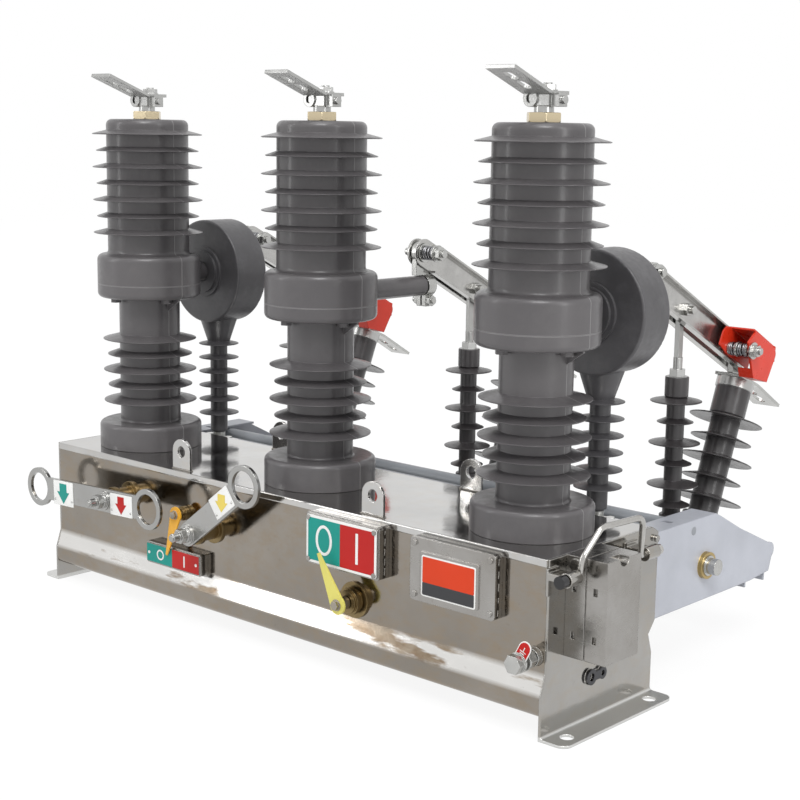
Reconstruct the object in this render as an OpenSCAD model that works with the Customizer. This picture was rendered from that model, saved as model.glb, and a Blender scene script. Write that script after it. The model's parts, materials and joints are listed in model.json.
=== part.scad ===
// Outdoor vacuum circuit breaker with a rear isolator, for a pole or a frame.
// X runs along the tank, Y to the rear, Z up; the feet stand on z = 0.

/* [Tank] */
// distance between the outer faces of the two end plates
tank_length = 869; // [700:1:1100]
// depth of the upper part of the tank
tank_depth = 196; // [150:1:260]
// height of the lid above the ground
lid_z = 200; // [150:1:260]
// height of the tank floor above the ground
floor_z = 25; // [15:1:60]
// sheet thickness of end plates and lid
sheet = 3; // [2:0.5:5]
// distance of the foot bolts outside the end plates
foot_hole_out = 16.5; // [11:0.5:22]
// foot bolt spacing across the tank
foot_pitch_y = 160; // [100:1:200]
// foot bolt hole diameter
foot_hole_d = 16; // [10:1:22]
// distance between the lifting lugs along the tank
lug_pitch = 344; // [200:1:500]

/* [Poles] */
// distance between neighbouring phases
phase_pitch = 340; // [250:1:420]
// position of the pole row across the tank
pole_y = -6.5; // [-30:0.5:30]
// radius of the foot, the waist flange and the bulge
pole_flange_r = 71; // [55:1:90]
// radius of the lower insulator core
neck_r = 42; // [30:1:60]
// radius of the upper insulator body
body_r = 56; // [40:1:70]
// height of the joint between lower and upper casting
waist_z = 429; // [380:1:500]
// height of the pole top
cap_z = 654; // [560:1:760]
// height of the outgoing arm
arm_z = 439; // [400:1:520]

/* [Current transformers] */
// radius of the winding disc
ct_r = 74; // [50:1:90]
// middle of the disc behind the tank wall
ct_out = 23.5; // [10:0.5:50]
// thickness of the disc
ct_width = 54; // [30:1:70]

/* [Isolator] */
// hinge of the blades behind the middle of the disc
hinge_out = 60; // [45:0.5:90]
// hinge of the blades, height
hinge_z = 483.5; // [450:0.5:520]
// slope of a closed blade
blade_tilt = 27; // [15:0.5:40]
// opening angle of the blades
blade_swing = 50; // [30:1:60]
// distance from the hinge to the pull pin
pull_arm = 120; // [90:1:150]
// height of a blade channel
blade_h = 36.5; // [25:0.5:45]
// isolator shaft behind the tank wall
shaft_out = 124; // [100:1:150]
// level distance from the hinge to the middle of a rear post's top
blade_run = 253.2; // [230:0.1:280]
// isolator shaft, height
shaft_z = 130; // [110:1:160]
// isolator shaft radius
shaft_r = 12.5; // [8:0.5:20]
// lean of the rear posts
post_lean = 22; // [0:0.5:30]
// length of a rear post
post_len = 210; // [160:1:260]

/* [Hidden] */
$fn = 96;

phases = [-phase_pitch, 0, phase_pitch];
end_x = tank_length / 2;             // outer face of an end plate
in_x = end_x - sheet;                // inner face of an end plate
wall_y = tank_depth / 2;             // upper tank wall
skirt_y = wall_y + 8;                // lower, wider part of the tank
skirt_z = 49;                        // top of the wider part
step_z = 73;                         // foot of the upper wall
ct_y = wall_y + ct_out;
hinge_y = ct_y + hinge_out;
shaft_y = wall_y + shaft_out;
fit = 0.05;                          // radial play of a running fit
bracket_t = 3.5;                     // thickness of an isolator bracket
bracket_x = in_x - bracket_t;        // inner face of a bracket
bracket_top = 190.5;
foot_x = end_x + foot_hole_out;      // foot bolt holes along the tank
foot_edge = foot_x + 16.5;           // outer edge of a foot
arm_end = hinge_y + 1.5;             // end of the outgoing arm
rail_top = bracket_top - 3;          // top of the transformer rail
shed_root = 5;                       // thickness of a shed at the core
shed_edge = 2;                       // thickness of a shed near its rim
pin_r = 5;                           // radius of hinge bolts and pull pins

// linkage: equal rod length at both ends of the travel
P0 = [hinge_y + pull_arm * cos(blade_tilt), hinge_z - pull_arm * sin(blade_tilt)];
P1z = hinge_z + pull_arm * sin(blade_swing - blade_tilt);
Q0 = [P0[0], shaft_z - (P1z - P0[1]) / 2];
post_top = [hinge_y + blade_run, 323];   // centre of a rear post's top face
post_foot = post_top - post_len * [sin(post_lean), cos(post_lean)];
beam_y = post_foot[0] - 28;        // front face of the rear beam
beam_z = post_foot[1] - 50.3;        // underside of the rear beam

// ---- helpers ----
// a drawing in (y, z) made solid between two x values
module along_x(x0, x1) translate([x0, 0, 0]) rotate([90, 0, 90]) linear_extrude(x1 - x0) children();
// a drawing in (x, z) made solid between two y values
module along_y(y0, y1) translate([0, y1, 0]) rotate([90, 0, 0]) linear_extrude(y1 - y0) children();
module rod_x(x0, x1, y, z, r) translate([x0, y, z]) rotate([0, 90, 0]) cylinder(h = x1 - x0, r = r);
module rod_y(y0, y1, x, z, r) translate([x, y1, z]) rotate([90, 0, 0]) cylinder(h = y1 - y0, r = r);
module rod_z(z0, z1, x, y, r) translate([x, y, z0]) cylinder(h = z1 - z0, r = r);
module box(x0, x1, y0, y1, z0, z1) translate([x0, y0, z0]) cube([x1 - x0, y1 - y0, z1 - z0]);
module hex_x(x0, x1, y, z, af) translate([x0, y, z]) rotate([0, 90, 0])
    cylinder(h = x1 - x0, r = af / 2 / cos(30), $fn = 6);
module hex_y(y0, y1, x, z, af) translate([x, y1, z]) rotate([90, 0, 0])
    cylinder(h = y1 - y0, r = af / 2 / cos(30), $fn = 6);
module hex_z(z0, z1, x, y, af) translate([x, y, z0]) cylinder(h = z1 - z0, r = af / 2 / cos(30), $fn = 6);
// rounded rectangle from corner to corner
module rrect(x0, x1, y0, y1, r) {
    translate([x0 + r, y0]) square([x1 - x0 - 2 * r, y1 - y0]);
    translate([x0, y0 + r]) square([x1 - x0, y1 - y0 - 2 * r]);
    for (x = [x0 + r, x1 - r], y = [y0 + r, y1 - r]) translate([x, y]) circle(r);
}
// slot between two points
module slot2(a, b, r) {
    d = b - a;
    translate(a) circle(r);
    translate(b) circle(r);
    translate(a) rotate(atan2(d[1], d[0])) translate([0, -r]) square([norm(d), 2 * r]);
}
// half profile of a disc with rounded edge, for turning
module disc2(r, z0, z1, e) {
    translate([0, z0]) square([r - e, z1 - z0]);
    translate([0, z0 + e]) square([r, z1 - z0 - 2 * e]);
    for (z = [z0 + e, z1 - e]) translate([r - e, z]) circle(e);
}
// half profile of a disc with its lower edge rounded by e0 and its upper edge by e1
module disc3(r, z0, z1, e0, e1) {
    translate([0, z0]) square([r - e0, e0 + 1]);
    translate([0, z0 + e0]) square([r, z1 - z0 - e0 - e1]);
    translate([0, z1 - e1 - 1]) square([r - e1, e1 + 1]);
    translate([r - e0, z0 + e0]) circle(e0);
    translate([r - e1, z1 - e1]) circle(e1);
}
// half profile of the hollow fillet from a shoulder at z0 up to a core of radius r
module fillet2(r, z0, f) difference() {
    translate([0, z0]) square([r + f, f]);
    translate([r + f, z0 + f]) circle(f);
}
function shed(z, r, rc, drop) = [[rc, z + drop - shed_root / 2], [r - 1.5, z - shed_edge / 2], [r, z - 0.4],
    [r, z + 0.4], [r - 1.5, z + shed_edge / 2], [rc, z + drop + shed_root / 2]];
// half profile of an insulator: rows are [height, radius]
function insulator(rc, z0, z1, rows, drop) = concat(
    [[0, z0], [rc, z0]], [for (s = rows) each shed(s[0], s[1], rc, drop)], [[rc, z1], [0, z1]]);
// rows from z0 to z1, as near to the pitch as a whole number of steps allows
function rows(z0, z1, pitch, odd, even) = let (n = max(1, round((z1 - z0) / pitch)), step = (z1 - z0) / n)
    [for (i = [0:n]) [z0 + i * step, i % 2 == 0 ? odd : even]];

// ---- tank ----
module tank_section(top, foot) {
    polygon([[-wall_y, top], [-wall_y, step_z], [-skirt_y, skirt_z], [-skirt_y, foot + 10],
        [skirt_y, foot + 10], [skirt_y, skirt_z], [wall_y, step_z], [wall_y, top]]);
    rrect(-skirt_y, skirt_y, foot, foot + 20, 9);
}
module tank_body() color("#9b958c") along_x(-in_x, in_x) tank_section(lid_z - sheet, floor_z);

module lug2() difference() {
    union() {
        translate([-17, 0]) square([34, 24]);
        translate([0, 24]) circle(17);
    }
    translate([0, 24]) circle(7.5);
}
module tank_lid() color("#a39d93") {
    difference() {
        along_x(-in_x, in_x) rrect(-wall_y - 1.5, wall_y + 1.5, lid_z - 9, lid_z, 1.4);
        box(-in_x - 1, in_x + 1, -wall_y, wall_y, lid_z - 10, lid_z - sheet);
    }
    for (x = [-lug_pitch / 2, lug_pitch / 2], y = [8 - wall_y, wall_y - 8])
        translate([x, 0, lid_z]) along_y(y - 2, y + 2) lug2();
}

// left-hand end plate; the right-hand one is its mirror image
module end_plate() {
    along_x(-end_x, -in_x) {
        tank_section(lid_z, 0);
        polygon([[-skirt_y, 0], [skirt_y, 0], [skirt_y, 12], [-skirt_y, 12]]);
        polygon([[wall_y - 3, lid_z], [wall_y + 1, lid_z], [wall_y + 12.5, lid_z - 7],
            [wall_y + 12.5, step_z + 14], [wall_y + 1, step_z], [wall_y - 3, step_z]]);
    }
    difference() {
        translate([0, 0, 0]) linear_extrude(sheet) union() {
            translate([-foot_x, -skirt_y]) square([foot_hole_out + 0.5, 2 * skirt_y]);
            rrect(-foot_edge, -end_x - 2, -skirt_y, skirt_y, 12);
        }
        for (y = [-1, 1]) rod_z(-1, sheet + 1, -foot_x, y * foot_pitch_y / 2, foot_hole_d / 2);
    }
    // inside of the bend between plate and foot
    along_y(-skirt_y, skirt_y) difference() {
        translate([-end_x - 4, sheet - 0.5]) square([4.5, 4.5]);
        translate([-end_x - 4, sheet + 4]) circle(4);
    }
    rod_x(-end_x - 4, -end_x, wall_y + 6, lid_z - 14, 4);
}
module end_plate_left() color("#a39d93") end_plate();
module end_plate_right() color("#a39d93") {
    mirror([1, 0, 0]) end_plate();
    // padlock hasp
    along_x(end_x, end_x + 4) translate([0, 51]) difference() {
        union() {
            translate([-18, 0]) circle(9);
            translate([3, 0]) circle(7);
            translate([-18, -5]) square([21, 10]);
        }
        translate([-18, 0]) circle(4.5);
        translate([3, 0]) circle(3.2);
    }
    handle_sleeve(-wall_y - 6.5, 13 - wall_y);
    handle_sleeve(42, 65);
}

// ---- control plug box and carrying handle on the right end ----
handle_x = end_x + 25.5;
handle_z = lid_z - 16;
handle_rod = 3.5;
handle_reach = 50;
handle_lean = 8;                         // outward lean of the raised handle
handle_y = [18.2 - wall_y, 35.5];
module handle_sleeve(y0, y1) {
    difference() {
        union() {
            rod_y(y0, y1, handle_x, handle_z, 8);
            box(end_x, handle_x, y0, y1, handle_z - 4, handle_z + 4);
            box(end_x, end_x + 3, y0, y1, handle_z - 22, handle_z + 8);
        }
        rod_y(y0 - 1, y1 + 1, handle_x, handle_z, handle_rod + fit);
    }
}
plug_top = lid_z + 1;
module plug_box() color("#a5a39e") {
    difference() {
        union() {
            box(end_x, end_x + 25.5, -68.5, -6.5, 88, plug_top);
            box(end_x + 25, end_x + 27.5, -67, -8, 89.5, plug_top - 1.5);
            box(end_x + 27, end_x + 53.5, -68.5, -6.5, 88, plug_top);
        }
        // cable notch in the cover and small slots
        rod_x(end_x + 40, end_x + 60, -37.5, plug_top, 9);
        for (x = [9, 36], z = [113, 166]) box(end_x + x, end_x + x + 5, -70, -64, z - 4, z + 4);
    }
    rod_y(-70, -60, end_x + 12.5, 190, 8);
}
// round bar bent along points in (y, z), with a bend radius at each point
function unit(v) = v / norm(v);
function turn(a, b, c) = let (u = unit(b - a), v = unit(c - b))
    atan2(u[0] * v[1] - u[1] * v[0], u[0] * v[0] + u[1] * v[1]);
module bent_bar(p, radii, r) {
    $fn = 48;
    last = len(p) - 1;
    a = [for (i = [0:last]) i == 0 || i == last ? 0 : turn(p[i - 1], p[i], p[i + 1])];
    cut = [for (i = [0:last]) radii[i] * tan(abs(a[i]) / 2)];
    // the straights end inside the bends, which swell by a hair
    lap = [for (i = [0:last]) i == 0 || i == last ? 0 : cut[i] - 0.5];
    for (i = [0:last - 1]) {
        d = unit(p[i + 1] - p[i]);
        q = p[i] + lap[i] * d;
        translate([0, q[0], q[1]]) rotate([atan2(-d[0], d[1]), 0, 0])
            cylinder(h = norm(p[i + 1] - p[i]) - lap[i] - lap[i + 1], r = r);
    }
    for (i = [1:last - 1]) {
        d = unit(p[i] - p[i - 1]);
        side = sign(a[i]) * [-d[1], d[0]];
        c = p[i] - cut[i] * d + radii[i] * side;
        start = atan2(-side[1], -side[0]) + min(a[i], 0);
        translate([0, c[0], c[1]]) rotate([90, 0, 90]) rotate([0, 0, start])
            rotate_extrude(angle = abs(a[i])) translate([radii[i], 0]) circle(r + 0.05);
    }
}
module carry_handle() color("#b9b5ad") translate([handle_x, 0, handle_z]) {
    ys = handle_y[0]; ye = handle_y[1]; h = handle_reach;
    rotate([0, handle_lean, 0]) bent_bar([[-108, 0], [ys, 0], [ys, 20], [ys + 27, h], [ye - 8, h - 3],
        [ye, 0], [69, 0]], [0, 5, 16, 12, 14, 5, 0], handle_rod);
    rod_y(-116, -107, 0, 0, 7);
    rod_y(67, 73, 0, 0, 6);
}

// ---- poles ----
module pole_lower() color("#5d5a5c") {
    rotate_extrude() {
        disc3(pole_flange_r, lid_z, lid_z + 35, 0.6, 6);
        fillet2(neck_r, lid_z + 34.5, 4);
        polygon(insulator(neck_r, lid_z + 30, waist_z - 15,
            rows(lid_z + 64.5, waist_z - 77.5, 21.75, 64.5, 58.5), 4));
        disc3(pole_flange_r, waist_z - 19, waist_z, 7, 0.5);
    }
    // ribs on the parting plane and bolts under the waist flange
    for (a = [0, 180]) rotate(a) along_y(-2, 2) polygon([[neck_r - 2, waist_z - 18],
        [pole_flange_r - 7, waist_z - 18], [pole_flange_r - 7, waist_z - 21], [neck_r - 2, waist_z - 37]]);
    for (a = [-12:90:258]) rotate(a) {
        hex_z(waist_z - 25, waist_z - 18, neck_r + 9, 0, 13);
        rod_z(waist_z - 20, waist_z - 18, neck_r + 9, 0, 8.5);
    }
}
module pole_upper() color("#5d5a5c") {
    rotate_extrude() {
        disc3(pole_flange_r, waist_z, waist_z + 41, 0.5, 8);
        fillet2(body_r, waist_z + 40.5, 6);
        polygon(insulator(body_r, waist_z + 30, cap_z - 10,
            rows(waist_z + 70.5, cap_z - 20.1, 22.4, 75, 70), 3));
        disc3(body_r, cap_z - 20, cap_z, 1, 8);
    }
    // outgoing arm, kept clear of the lower casting's flange
    difference() {
        union() {
            rod_y(40, arm_end - pole_y, 0, arm_z, 13.5);
            rod_y(60, pole_flange_r + 11, 0, arm_z, 17);
        }
        rod_y(arm_end - pole_y - 8, arm_end - pole_y + 1, 0, arm_z, 12);
        box(-20, 20, 20, pole_flange_r + 0.6, waist_z - 30, waist_z);
    }
}
module at_phase(i) translate([phases[i], pole_y, 0]) children();
module pole_lower_a() at_phase(0) pole_lower();
module pole_lower_b() at_phase(1) pole_lower();
module pole_lower_c() at_phase(2) pole_lower();
module pole_upper_a() at_phase(0) pole_upper();
module pole_upper_b() at_phase(1) pole_upper();
module pole_upper_c() at_phase(2) pole_upper();

// ---- line terminals on the pole tops ----
module line_terminal() {
    h = cap_z; slope = 20.5; y0 = -12; w = 19.5; t = 4; run = 71; top = h + 30;
    intersection() {
        rotate([0, 0, 14]) hex_z(h, h + 11, 0, 0, 35);
        translate([0, 0, h]) rotate_extrude() disc2(20, 0, 11, 2);
    }
    rod_z(h + 11, h + 19, 0, 0, 11);
    box(-12, 15, -12, 15, h + 18, top + 1);
    // pinch bolt on the right, eye on the left
    box(14, 25, -7, 8, h + 17, h + 32);
    rod_x(25, 29, 0, h + 24.5, 4.5);
    difference() {
        rod_y(-14, -4, -9, h + 26, 9.5);
        rod_y(-15, -3, -9, h + 26, 5);
    }
    difference() {
        union() {
            box(-w, w, y0, 18.5, top, top + t);
            along_x(-w, w) polygon([[y0, top], [y0, top + t],
                [y0 - run * cos(slope) + t * sin(slope), top + t + run * sin(slope)],
                [y0 - run * cos(slope), top + run * sin(slope)]]);
        }
        for (d = [26, 50]) translate([0, y0 - d * cos(slope), top + d * sin(slope)]) rotate([-slope, 0, 0])
            translate([0, 0, -4]) linear_extrude(14) slot2([0, -5], [0, 5], 6);
    }
    rod_z(top + t - 1, top + t + 1.5, 0, 6, 11);
    hex_z(top + t + 1, top + t + 7, 0, 6, 17);
    rod_z(top + t + 6, top + t + 9, 0, 6, 5);
}
module line_terminals() color("#a8a49c") for (i = [0:2]) at_phase(i) line_terminal();

// ---- hinge contacts on the arm ends ----
module arm_contact() {
    c = [hinge_y, hinge_z];
    mid = arm_end + 8.5; bolt_z = arm_z - 20;
    rod_y(arm_end - 7, arm_end + 17, 0, arm_z, 11.8);
    difference() {
        union() {
            rod_y(arm_end + 1, arm_end + 16, 0, arm_z, 15);
            along_x(-8, 8) rrect(arm_end + 1, arm_end + 16, arm_z - 28, arm_z - 8, 1);
        }
        box(-1.2, 1.2, arm_end, arm_end + 20, arm_z - 30, arm_z - 12);
    }
    for (x = [-14, 8]) hex_x(x, x + 6, mid, bolt_z, 13);
    rod_x(-19, 17, mid, bolt_z, 4);
    along_x(-4, 4) union() {
        translate(c) circle(15);
        polygon([[c[0] - 12.5, c[1]], [c[0] - 12.5, arm_z + 14.3], [arm_end + 1, arm_z + 14.3],
            [arm_end + 1, arm_z + 5], [c[0] + 12.5, arm_z + 5], [c[0] + 12.5, c[1]]]);
    }
    // hinge bolt with washers, spring sleeve and nuts
    rod_x(-24, 43, c[0], c[1], pin_r);
    for (s = [[8, 10, 13], [10, 30, 6.2], [28, 30, 11], [30, 32, 9], [-10, -8, 13]])
        rod_x(s[0], s[1], c[0], c[1], s[2]);
    hex_x(32, 39, c[0], c[1], 16);
    hex_x(-17, -10, c[0], c[1], 16);
}
module arm_contacts() color("#b8a06a") for (x = phases) translate([x, 0, 0]) arm_contact();

// ---- current transformers on the outer phases ----
module current_transformer() {
    neck_z = arm_z - ct_r + 3;
    difference() {
        union() {
            translate([0, ct_y, arm_z]) rotate([90, 0, 0]) rotate_extrude() {
                disc2(ct_r, -ct_width / 2, ct_width / 2, 3);
                translate([0, 20]) square([36, ct_width / 2 - 20 + 3]);
                translate([0, 20]) square([30, ct_width / 2 - 20 + 6]);
                translate([0, -ct_width / 2 - 3]) square([32, 10]);
            }
            translate([0, ct_y, 0]) rotate_extrude() {
                polygon(insulator(12.5, rail_top + 15, neck_z - 32,
                    rows(rail_top + 41.5, neck_z - 36, 20.6, 29, 29), 2));
                polygon([[0, neck_z - 36], [15, neck_z - 36], [27, neck_z], [27, neck_z + 12],
                    [0, neck_z + 12]]);
            }
        }
        rod_y(ct_y - 60, ct_y + 60, 0, arm_z, 14.2);
    }
    rod_z(rail_top, rail_top + 18, 0, ct_y, 9);
    for (x = [-20, 20]) hex_z(rail_top, rail_top + 7, x, ct_y, 10);
    box(-27, 27, ct_y - 13, ct_y + 13, rail_top, rail_top + 2.5);
}
module current_transformers() color("#3e3c3e") for (x = [phases[0], phases[2]])
    translate([x, 0, 0]) current_transformer();

module ct_rail() color("#8f9296") difference() {
    box(-bracket_x, bracket_x, ct_y - 20.5, ct_y + 23.5, rail_top - 25.5, rail_top);
    box(-bracket_x - 1, bracket_x + 1, ct_y - 17.5, ct_y + 20.5, rail_top - 27, rail_top - 3);
}

// ---- isolator brackets, tie tube and rear beam ----
module bracket() {
    difference() {
        along_x(bracket_x, in_x) difference() {
            union() {
                polygon([[wall_y + 1.5, bracket_top], [shaft_y + 21, bracket_top],
                    [shaft_y + 35.5, bracket_top - 6.5], [shaft_y + 81, 161],
                    post_foot + [26, -1.3], post_foot + [34, -16.3], post_foot + [26, -38.3],
                    post_foot + [-21, -42], [wall_y + 1.5, 86.3]]);
                translate(post_foot + [27, -11.3]) circle(10.5);
            }
            translate([shaft_y, shaft_z]) circle(16.5);
        }
        rod_x(bracket_x - 1, in_x + 1, tie[0], tie[1], 5);
    }
    // turned-in top flange with a slot
    difference() {
        box(bracket_x - 31, bracket_x + 1, wall_y + 12, shaft_y + 21, bracket_top - 3, bracket_top);
        translate([bracket_x - 17, shaft_y - 57, bracket_top - 5])
            linear_extrude(8) slot2([-4, 0], [4, 0], 4);
    }
    // bush for the isolator shaft
    difference() {
        union() {
            rod_x(bracket_x - 6, in_x + 6, shaft_y, shaft_z, 16.5);
            rod_x(bracket_x - 3, bracket_x, shaft_y, shaft_z, 20);
        }
        rod_x(bracket_x - 7, in_x + 7, shaft_y, shaft_z, shaft_r + fit);
    }
}
module bracket_right() color("#aab0bc") bracket();
module bracket_left() color("#aab0bc") mirror([1, 0, 0]) bracket();

tie = [shaft_y - 28.5, 177];         // tie tube between the brackets, in (y, z)
module tie_tube() color("#9a9ca0") {
    rod_x(-bracket_x, bracket_x, tie[0], tie[1], 10);
    rod_x(-in_x, in_x, tie[0], tie[1], 4.9);
}

module pedestal() {
    translate([0, post_foot[0], post_foot[1]]) rotate([-post_lean, 0, 0]) box(-28, 28, -27, 27, -4, 0);
    for (x = [-28, 24]) along_x(x, x + 4) difference() {
        polygon([[beam_y + 3, beam_z + 20], post_foot + [-22, 4], post_foot + [22, -12],
            [beam_y + 47, beam_z + 20]]);
        translate([post_foot[0], post_foot[1]]) rotate(-post_lean) translate([-40, -3]) square([80, 20]);
    }
}
module rear_beam() color("#9fa6b2") {
    difference() {
        box(-bracket_x, bracket_x, beam_y, beam_y + 50, beam_z, beam_z + 22);
        box(-bracket_x - 1, bracket_x + 1, beam_y + 3, beam_y + 47, beam_z - 1, beam_z + 19);
    }
    for (x = phases) translate([x, 0, 0]) pedestal();
}

// ---- rear posts and fixed contacts ----
module post_frame(x) translate([x, post_foot[0], post_foot[1]]) rotate([-post_lean, 0, 0]) children();
module rear_post() rotate_extrude() {
    sheds = floor((post_len - 97) / 27.1);
    polygon(insulator(19.5, 0, post_len - 9, [for (i = [sheds:-1:0])
        [post_len - 56 - 27.1 * i, (i % 2 == 0 ? 48.5 : 41) - i / 2]], 4));
    disc2(23.5, post_len - 50, post_len - 9, 2);
    disc2(25, post_len - 13, post_len, 1);
    disc2(26, 0, 26, 2);
}
module rear_posts() color("#4a4748") for (x = phases) post_frame(x) rear_post();

module rear_contact() {
    fall = 29.5 - post_lean;             // of the terminal plate against the post's top
    c = cos(fall); s = sin(fall); t = 4; run = 71;
    post_frame(0) {
        translate([0, 0, post_len]) difference() {
            along_x(-19.5, 19.5) polygon([[-23, 0], [26, 0], [26 + run * c, -run * s],
                [26 + run * c + t * s, t * c - run * s], [26 + t * tan(fall / 2), t], [-23, t]]);
            for (d = [22, 48]) translate([0, 26 + d * c, -d * s]) rotate([-fall, 0, 0])
                translate([0, 0, -3]) linear_extrude(10) slot2([0, -5], [0, 5], 6);
        }
        hex_z(post_len + 3.5, post_len + 11, 0, 15, 19);
        rod_z(post_len + 3, post_len + 14, 0, 15, 5);
    }
    along_x(-4, 4) intersection() {
        union() {
            translate([418.5, 320]) square([18, 37]);
            translate([427.5, 357]) circle(9);
        }
        translate(post_top) rotate(-post_lean) translate([-50, 1]) square([100, 80]);
    }
}
module rear_contacts() color("#b8a06a") for (x = phases) translate([x, 0, 0]) rear_contact();

// ---- isolator shaft with its cranks ----
module isolator_shaft() color("#a8a49c") {
    rod_x(-in_x - 7, in_x + 7, shaft_y, shaft_z, shaft_r);
    // turned-down ends for the drive lever
    rod_x(-in_x - 19, in_x + 19, shaft_y, shaft_z, shaft_r - 2.5);
    for (x = phases) translate([x, 0, 0]) {
        for (s = [-9.5, 5.5]) along_x(s, s + 4) difference() {
            union() {
                slot2([shaft_y, shaft_z], Q0, 11);
                translate([shaft_y, shaft_z]) circle(20);
            }
            translate([shaft_y, shaft_z]) circle(shaft_r - 0.5);
        }
        rod_x(-16, 16, shaft_y, shaft_z, 18);
        rod_x(-15, 15, Q0[0], Q0[1], 5);
        for (s = [-15, 9.5]) hex_x(s, s + 5.5, Q0[0], Q0[1], 14);
    }
}

// ---- blades: drawn level along +y from the hinge, then tilted ----
module blade_frame(i) translate([phases[i], hinge_y, hinge_z]) rotate([-blade_tilt, 0, 0]) children();
spring_bolt = [230.4, -7.2];
blade_end = blade_run + 2.3;
module blade() {
    h = blade_h / 2;
    difference() {
        union() for (s = [0, 1]) mirror([s, 0, 0]) {
            along_x(5, 7.5) union() {
                circle(h);
                translate([0, -h]) square([310, 2 * h]);
            }
            box(7, 15, 16, 310, h - 2.5, h);
            box(7, 15, 24, 310, -h, -h + 2.5);
        }
        rod_x(-20, 20, 0, 0, 5 + fit);
        // square end, upright while closed
        rotate([blade_tilt, 0, 0]) box(-20, 20, blade_end, blade_end + 80, -200, 100);
    }
    // pull pin
    rod_x(-19, 21, pull_arm, 0, pin_r);
    for (s = [-13.5, 7.5]) hex_x(s, s + 6, pull_arm, 0, 14);
    // spring bolt through the guard
    rod_x(-16, 64, spring_bolt[0], spring_bolt[1], 4.5);
    hex_x(-15, -7.5, spring_bolt[0], spring_bolt[1], 14);
    for (s = [[17.4, 19.6, 8], [19.3, 46, 5.6], [30, 32.5, 10], [44.8, 46, 8], [51, 53.5, 11]])
        rod_x(s[0], s[1], spring_bolt[0], spring_bolt[1], s[2]);
    hex_x(53, 60, spring_bolt[0], spring_bolt[1], 14);
}
module blade_a() color("#b3aea4") blade_frame(0) blade();
module blade_b() color("#b3aea4") blade_frame(1) blade();
module blade_c() color("#b3aea4") blade_frame(2) blade();

module blade_bar() difference() {
    along_x(-5, 5) rrect(142, 250, -14, 8, 3);
    rod_x(-10, 10, spring_bolt[0], spring_bolt[1], 4.6);
}
module blade_bar_a() color("#8e1c14") blade_frame(0) blade_bar();
module blade_bar_b() color("#8e1c14") blade_frame(1) blade_bar();
module blade_bar_c() color("#8e1c14") blade_frame(2) blade_bar();

// cover over the blade's end: two side plates joined by top, bottom and end walls
guard_corner = [for (a = [90:-15:0]) [281 + 10 * cos(a), 7 + 10 * sin(a)]];
module guard() difference() {
    union() {
        along_x(48, 51) polygon(concat([[216, -2], [226, 17]], guard_corner,
            [[288, -29], [252, -37], [228, -14]]));
        along_x(15.3, 17.3) polygon([[205, -12], [205, 7], [210, 15], [222, 19.5], [283, 19.5], [290, 9],
            [290, -14], [229, -16]]);
        along_x(15.3, 50) polygon([[222, 17], [283, 17], [283, 19.5], [222, 19.5]]);
        along_x(30, 50) polygon([[243, -28.4], [252, -37], [288, -29], [292, 1.5], [289, 2.5], [285.6, -27],
            [252.8, -34.2], [244.8, -26.6]]);
        along_x(-18.5, 51) polygon([[289.1, 0.9], [292.2, 1.3], [285, 19.5], [281.4, 19.5]]);
        along_x(-18.5, -16.5) polygon([[237, 16], [263, 19], [285, 15.6], [292.2, 1.3], [265, -12.5]]);
    }
    rod_x(10, 60, spring_bolt[0], spring_bolt[1], 4.6);
}
module blade_guard_a() color("#c42a1c") blade_frame(0) guard();
module blade_guard_b() color("#c42a1c") blade_frame(1) guard();
module blade_guard_c() color("#c42a1c") blade_frame(2) guard();

// ---- pull insulators ----
module pull_insulator() translate([0, P0[0], 0]) {
    top = P0[1] - 85; foot = Q0[1] + 66.7;     // ends of the insulating body
    difference() {
        union() {
            rod_x(-4, 4, 0, P0[1], 12);
            box(-3, 3, -5, 5, top + 20, P0[1] - 8);
            rod_x(-4.5, 4.5, 0, Q0[1], 16);
            box(-4.5, 4.5, -10, 10, Q0[1] + 8, Q0[1] + 32);
        }
        rod_x(-10, 10, 0, P0[1], pin_r + fit);
        rod_x(-10, 10, 0, Q0[1], 11);
    }
    hex_z(top - 1, top + 9, 0, 0, 19);
    rod_z(top + 8, top + 24, 0, 0, 5.8);
    rod_z(Q0[1] + 30, foot + 14, 0, 0, 9);
    rotate_extrude() {
        polygon(insulator(11.5, foot + 12, top - 26, rows(foot + 32, top - 31.5, 26.9, 23, 32.5), 3));
        disc2(15, top - 26, top, 1.5);
        disc2(15.5, foot, foot + 20, 1.5);
    }
}
module pull_insulator_a() color("#3c393a") translate([phases[0], 0, 0]) pull_insulator();
module pull_insulator_b() color("#3c393a") translate([phases[1], 0, 0]) pull_insulator();
module pull_insulator_c() color("#3c393a") translate([phases[2], 0, 0]) pull_insulator();

// ---- front wall ----
function out(d) = -wall_y - d;           // a distance outwards from the wall
lever_y = out(45.5);                     // front face of both levers
open_lever = [-271, 150.5];
open_arms = [[90, 2.1], [148, 182.1]];   // length and angle of each arm
charge_lever = [-100, 135.5];
charge_arm = [131, 37.1];
lever_t = 5;
main_pivot = [152, 95.5];
energy_pivot = [-155.8, 146.5];
module plate_box(x0, x1, z0, z1, y, r) along_y(y, out(0)) rrect(x0, x1, z0, z1, r);
module off_lid() difference() {
    children();
    along_x(-in_x, in_x) rrect(-wall_y - 1.5, wall_y + 1.5, lid_z - 9, lid_z, 1.4);
}
module main_indicator() color("#3e7f74") off_lid() {
    plate_box(86, 205, 132, 195, out(16.5), 4);
    along_y(out(18.5), out(16)) rrect(88, 203, 134, 193, 3);
    for (x = [92, 199], z = [138, 189]) rod_y(out(20.5), out(18), x, z, 3);
}
module off_tank() difference() {
    children();
    along_x(-in_x, in_x) tank_section(lid_z - sheet, floor_z);
}
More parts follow.
